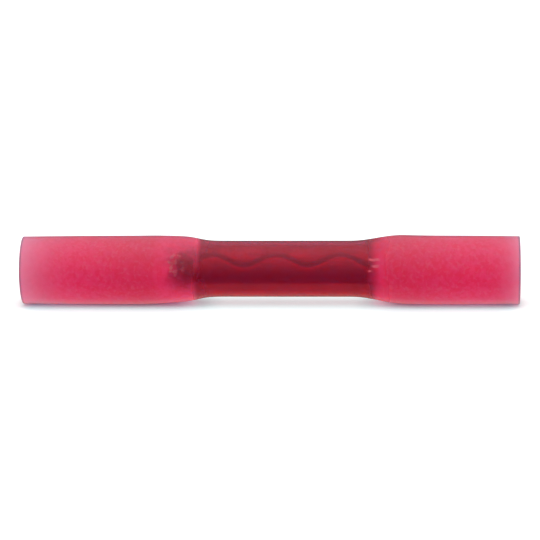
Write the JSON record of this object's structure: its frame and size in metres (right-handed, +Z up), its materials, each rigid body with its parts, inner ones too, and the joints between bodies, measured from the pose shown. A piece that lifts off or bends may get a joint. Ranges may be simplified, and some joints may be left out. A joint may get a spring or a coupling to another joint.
{
  "type": "heat shrink butt connector",
  "caption": "Butt connector that joins two wires end to end: a rolled metal crimp barrel inside an adhesive-lined, red heat shrink sleeve.",
  "frame": {"origin": "middle of the sleeve, on its axis", "axes": "+X along the tube, towards the end with the shorter shoulder; +Z up as the connector lies on its two wide ends; the barrel's seam faces -Y"},
  "size_m": [0.037, 0.0052, 0.0051],
  "materials": {
    "sleeve": "satin",
    "adhesive": "satin",
    "barrel": "satin"
  },
  "bodies": {
    "root": {"sleeve": "sleeve", "adhesive_liner": "adhesive", "crimp_barrel": "barrel"}
  },
  "joints": []
}
